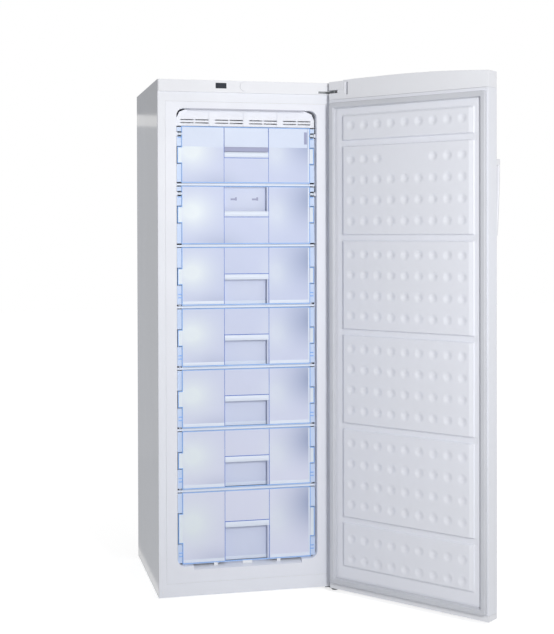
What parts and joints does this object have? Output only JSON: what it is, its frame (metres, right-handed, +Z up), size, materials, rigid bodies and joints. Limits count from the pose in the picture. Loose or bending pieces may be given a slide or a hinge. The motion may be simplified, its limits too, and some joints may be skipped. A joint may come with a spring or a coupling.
{
  "type": "upright freezer",
  "caption": "Upright freezer with a hinged door, drop-front compartments and pull-out drawers behind it.",
  "frame": {"origin": "on the floor, below the middle of the whole object's bounding box with the door open as pictured", "axes": "+Z up, +X to the right and +Y to the back for someone who faces the cabinet's front"},
  "size_m": [1.0008, 1.0418, 1.701],
  "materials": {
    "painted_steel": "white satin powder coat",
    "white_liner": "white moulded polystyrene, satin",
    "white_plastic": "white moulded plastic, satin",
    "clear_front": "clear moulded polystyrene with a faint blue cast",
    "clear_shelf": "clear shelf plate, blue-green at its edge",
    "frosted_tub": "frosted moulded polystyrene",
    "gasket_rubber": "pale grey magnetic gasket",
    "zinc_steel": "zinc-plated sheet",
    "black_plastic": "black moulded plastic",
    "black_steel": "black enamel",
    "dark_window": "dark tinted display window",
    "foam": "rigid polyurethane foam",
    "fins": "plain aluminium",
    "copper_pipe": "plain copper",
    "circuit_board": "green solder mask"
  },
  "bodies": {
    "cabinet": {"outer_shell": "painted_steel", "inner_liner": "white_liner", "insulation_foam": "foam", "rear_panel": "painted_steel", "floor_pan": "zinc_steel", "top_cover": "white_plastic", "control_panel": "white_plastic", "display_window": "dark_window", "control_box": "black_plastic", "control_board": "circuit_board", "air_grille": "white_liner", "evaporator_tray": "white_liner", "evaporator_coil": "fins", "defrost_heater": "zinc_steel", "fan_shroud": "white_plastic", "fan_motor": "black_plastic", "air_duct": "white_liner", "drain_tube": "black_plastic", "base_rail": "zinc_steel", "compressor": "black_steel", "terminal_box": "black_plastic", "drip_tray": "black_plastic", "condenser": "black_steel", "filter_drier": "copper_pipe", "cord_gland": "black_plastic", "top_hinge_bracket": "zinc_steel", "bottom_hinge_bracket": "zinc_steel", "hinge_hole_plug": "white_plastic", "shelf_1": "clear_shelf", "shelf_2": "clear_shelf", "shelf_3": "clear_shelf", "shelf_4": "clear_shelf", "shelf_5": "clear_shelf", "shelf_6": "clear_shelf"},
    "door": {"door_skin": "painted_steel", "door_foam": "foam", "door_liner": "white_liner", "door_gasket": "gasket_rubber", "door_top_cap": "white_plastic", "door_cap_insert": "white_plastic", "door_bottom_cap": "white_plastic", "door_handle": "white_plastic"},
    "flap_upper": {"flap_1": "clear_front"},
    "flap_lower": {"flap_2": "clear_front"},
    "drawer_1": {"drawer_1_front": "clear_front", "drawer_1_tub": "frosted_tub"},
    "drawer_2": {"drawer_2_front": "clear_front", "drawer_2_tub": "frosted_tub"},
    "drawer_3": {"drawer_3_front": "clear_front", "drawer_3_tub": "frosted_tub"},
    "drawer_4": {"drawer_4_front": "clear_front", "drawer_4_tub": "frosted_tub"},
    "drawer_5": {"drawer_5_front": "clear_front", "drawer_5_tub": "frosted_tub"},
    "mode_button": {"mode_button": "white_plastic"},
    "fan_impeller": {"fan_impeller": "white_plastic"},
    "foot_left": {"levelling_foot_left": "black_plastic"},
    "foot_right": {"levelling_foot_right": "black_plastic"},
    "roller_left": {"rear_roller_left": "black_plastic"},
    "roller_right": {"rear_roller_right": "black_plastic"}
  },
  "joints": [
    {"name": "door_hinge", "type": "hinge", "parent": "cabinet", "child": "door", "pos_m": [0.08515, -0.04911, 0.855], "axis": [0, 0, 1], "range_deg": [-127.85, 5]},
    {"name": "flap_upper_hinge", "type": "hinge", "parent": "cabinet", "child": "flap_upper", "pos_m": [-0.20285, -0.00386, 1.5208], "axis": [-1, 0, 0], "range_deg": [0, 90]},
    {"name": "flap_lower_hinge", "type": "hinge", "parent": "cabinet", "child": "flap_lower", "pos_m": [-0.20285, -0.00386, 1.3264], "axis": [-1, 0, 0], "range_deg": [0, 90]},
    {"name": "drawer_1_slide", "type": "slide", "parent": "cabinet", "child": "drawer_1", "axis": [0, -1, 0], "range_m": [0, 0.36]},
    {"name": "drawer_2_slide", "type": "slide", "parent": "cabinet", "child": "drawer_2", "axis": [0, -1, 0], "range_m": [0, 0.36]},
    {"name": "drawer_3_slide", "type": "slide", "parent": "cabinet", "child": "drawer_3", "axis": [0, -1, 0], "range_m": [0, 0.36]},
    {"name": "drawer_4_slide", "type": "slide", "parent": "cabinet", "child": "drawer_4", "axis": [0, -1, 0], "range_m": [0, 0.36]},
    {"name": "drawer_5_slide", "type": "slide", "parent": "cabinet", "child": "drawer_5", "axis": [0, -1, 0], "range_m": [0, 0.18]},
    {"name": "mode_button_press", "type": "slide", "parent": "cabinet", "child": "mode_button", "axis": [0, 1, 0], "range_m": [0, 0.0015], "stiffness_N_per_m": 700, "springref_m": -0.001},
    {"name": "fan_spin", "type": "hinge", "parent": "cabinet", "child": "fan_impeller", "pos_m": [-0.20285, 0.39489, 1.542], "axis": [0, 1, 0], "continuous": true},
    {"name": "foot_left_screw", "type": "slide", "parent": "cabinet", "child": "foot_left", "axis": [0, 0, -1], "range_m": [0, 0.012]},
    {"name": "foot_right_screw", "type": "slide", "parent": "cabinet", "child": "foot_right", "axis": [0, 0, -1], "range_m": [0, 0.012]},
    {"name": "roller_left_spin", "type": "hinge", "parent": "cabinet", "child": "roller_left", "pos_m": [-0.44285, 0.47689, 0.015], "axis": [1, 0, 0], "continuous": true},
    {"name": "roller_right_spin", "type": "hinge", "parent": "cabinet", "child": "roller_right", "pos_m": [0.03715, 0.47689, 0.015], "axis": [1, 0, 0], "continuous": true}
  ]
}
